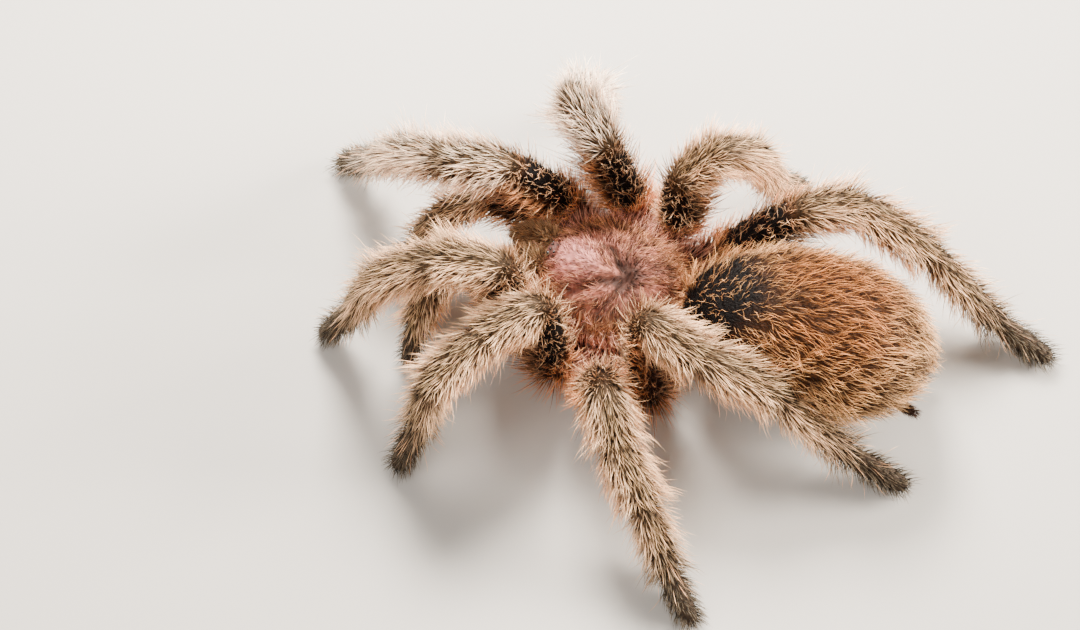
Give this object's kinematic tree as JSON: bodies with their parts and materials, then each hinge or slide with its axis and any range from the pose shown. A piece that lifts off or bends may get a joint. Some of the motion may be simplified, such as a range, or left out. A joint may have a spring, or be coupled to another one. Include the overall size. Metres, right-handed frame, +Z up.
{
  "type": "tarantula",
  "caption": "Large hairy ground spider standing with its legs drawn in: domed carapace, egg-shaped abdomen, bent coated legs, palps, fangs and spinnerets",
  "frame": {"origin": "on the floor, under the middle of the bounding box of the whole spider", "axes": "+X to the spider's own left, +Y towards its rear (the head faces -Y), +Z up"},
  "size_m": [0.0868, 0.1286, 0.0341],
  "materials": {
    "carapace_shell": "dusty rose shell under short flat hair, a soft sheen",
    "abdomen_coat": "dark brown velvet under longer tawny hair, matte",
    "leg_coat": "grey-beige skin under cream and rose hair, matte",
    "foot_coat": "short dark grey hair, matte",
    "underside_coat": "dark brown short hair, matte",
    "fang_horn": "polished black horn",
    "eye_lens": "wet black lens"
  },
  "bodies": {
    "root": {"leg1_left_femur": "leg_coat", "leg1_left_patella": "leg_coat", "leg1_left_tibia": "leg_coat", "leg1_left_foot": "foot_coat", "leg1_right_femur": "leg_coat", "leg1_right_patella": "leg_coat", "leg1_right_tibia": "leg_coat", "leg1_right_foot": "foot_coat", "leg2_left_femur": "leg_coat", "leg2_left_patella": "leg_coat", "leg2_left_tibia": "leg_coat", "leg2_left_foot": "foot_coat", "leg2_right_femur": "leg_coat", "leg2_right_patella": "leg_coat", "leg2_right_tibia": "leg_coat", "leg2_right_foot": "foot_coat", "leg3_left_femur": "leg_coat", "leg3_left_patella": "leg_coat", "leg3_left_tibia": "leg_coat", "leg3_left_foot": "foot_coat", "leg3_right_femur": "leg_coat", "leg3_right_patella": "leg_coat", "leg3_right_tibia": "leg_coat", "leg3_right_foot": "foot_coat", "leg4_left_femur": "leg_coat", "leg4_left_patella": "leg_coat", "leg4_left_tibia": "leg_coat", "leg4_left_foot": "foot_coat", "leg4_right_femur": "leg_coat", "leg4_right_patella": "leg_coat", "leg4_right_tibia": "leg_coat", "leg4_right_foot": "foot_coat", "palp_left_femur": "leg_coat", "palp_left_patella": "leg_coat", "palp_left_tibia": "leg_coat", "palp_left_foot": "foot_coat", "chelicera_left": "underside_coat", "fang_left": "fang_horn", "spinneret_left": "underside_coat", "palp_right_femur": "leg_coat", "palp_right_patella": "leg_coat", "palp_right_tibia": "leg_coat", "palp_right_foot": "foot_coat", "chelicera_right": "underside_coat", "fang_right": "fang_horn", "spinneret_right": "underside_coat", "carapace": "carapace_shell", "sternum_coxae": "underside_coat", "abdomen": "abdomen_coat", "eye_front_middle_left": "eye_lens", "eye_front_middle_right": "eye_lens", "eye_front_side_left": "eye_lens", "eye_front_side_right": "eye_lens", "eye_rear_middle_left": "eye_lens", "eye_rear_middle_right": "eye_lens", "eye_rear_side_left": "eye_lens", "eye_rear_side_right": "eye_lens"}
  },
  "joints": []
}
